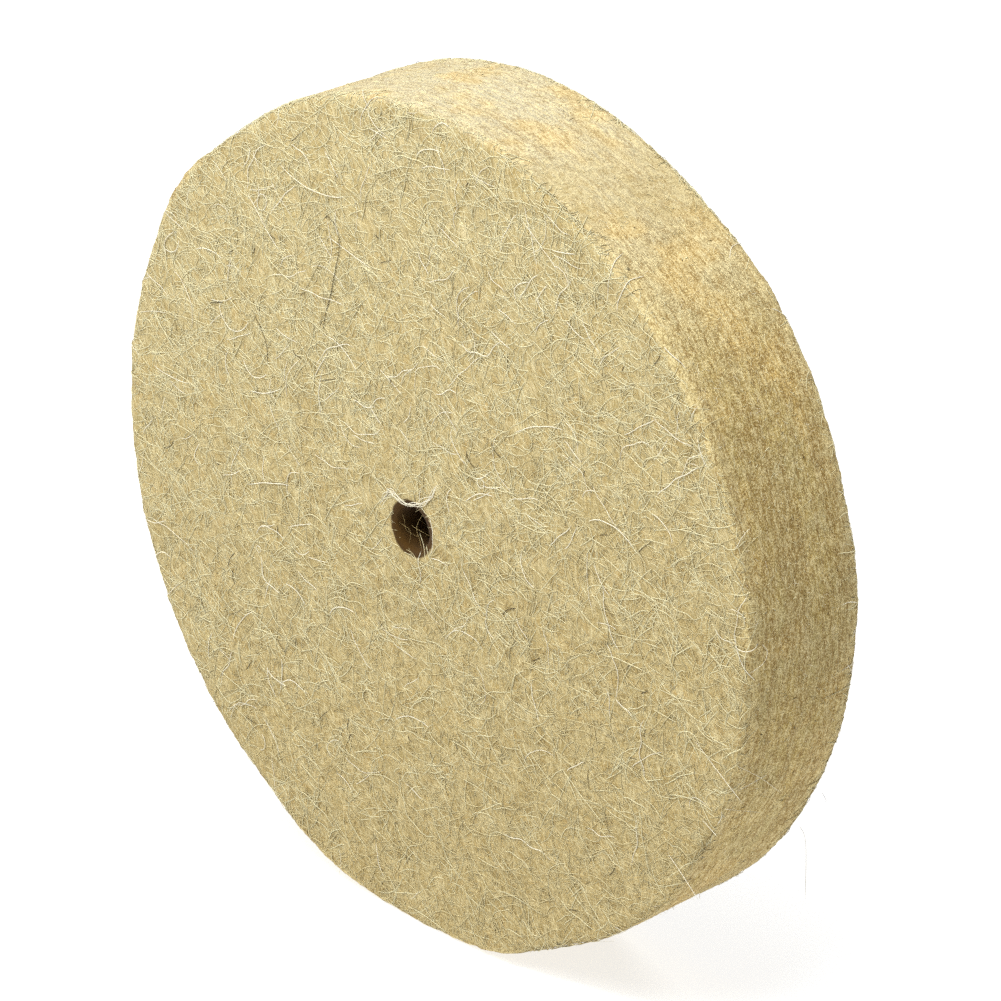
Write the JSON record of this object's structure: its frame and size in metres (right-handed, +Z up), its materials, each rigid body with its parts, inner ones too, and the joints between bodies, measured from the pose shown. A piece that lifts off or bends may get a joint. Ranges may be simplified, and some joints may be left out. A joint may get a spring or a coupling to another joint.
{
  "type": "felt polishing wheel",
  "caption": "Thick flat disc of pressed wool felt with a plain central hole, for polishing stones on a spindle.",
  "frame": {"origin": "centre of the wheel, on the axis that it spins about and halfway through its thickness", "axes": "+Y along the spin axis, from the front face to the back face; +Z up with the wheel standing on its rim"},
  "size_m": [0.15, 0.0264, 0.15],
  "materials": {
    "wool_felt": "matt, hairy pressed felt"
  },
  "bodies": {
    "root": {"felt_wheel": "wool_felt"}
  },
  "joints": []
}
